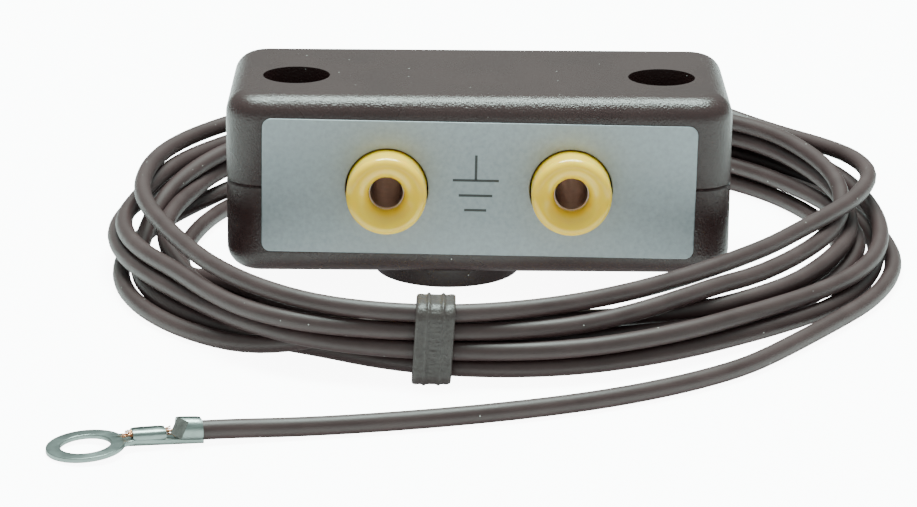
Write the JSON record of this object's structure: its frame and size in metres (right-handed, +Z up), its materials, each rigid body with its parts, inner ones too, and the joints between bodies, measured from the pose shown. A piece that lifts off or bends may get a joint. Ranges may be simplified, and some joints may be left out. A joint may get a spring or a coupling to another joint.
{
  "type": "wrist strap grounding block",
  "caption": "Two-jack ESD grounding block with a snap socket under it and a coiled ground cord that ends in a ring terminal.",
  "frame": {"origin": "on the surface the block stands on, under the middle of the block with its jacks", "axes": "+X to the right along the row of jacks, the labelled front faces -Y, +Z up"},
  "size_m": [0.104, 0.1245, 0.0253],
  "materials": {
    "casing_black": "fine-textured moulded ABS, charcoal black",
    "label_silver": "brushed silver-grey foil label",
    "jack_yellow": "glossy yellow nylon",
    "nickel": "nickel-plated brass",
    "tinned_brass": "tin-plated brass sheet",
    "steel": "zinc-plated steel",
    "tinned_wire": "tinned copper wire",
    "copper": "stranded bare copper",
    "cord_black": "satin black PVC",
    "wire_green": "green PVC insulation",
    "tie_black": "ribbed black vinyl strip over a wire"
  },
  "bodies": {
    "root": {"upper_shell": "casing_black", "lower_shell": "casing_black", "front_label": "label_silver", "jack_insulator_left": "jack_yellow", "jack_insulator_right": "jack_yellow", "jack_contact_left": "nickel", "jack_contact_right": "nickel", "jack_lug_left": "tinned_brass", "jack_lug_right": "tinned_brass", "jack_washer_left": "steel", "jack_washer_right": "steel", "jack_nut_left": "nickel", "jack_nut_right": "nickel", "link_wire": "tinned_wire", "cord_inside": "cord_black", "cord_core": "copper", "snap_wire_core": "copper", "snap_wire": "wire_green", "snap_socket": "nickel", "snap_spring": "steel", "snap_eyelet": "nickel", "snap_lug": "tinned_brass", "shell_screws": "steel", "cord_bushing": "cord_black", "cord_lead": "cord_black", "cord_coil": "cord_black", "cord_tail": "cord_black", "coil_tie": "tie_black", "ring_terminal": "tinned_brass", "terminal_core": "copper"}
  },
  "joints": []
}
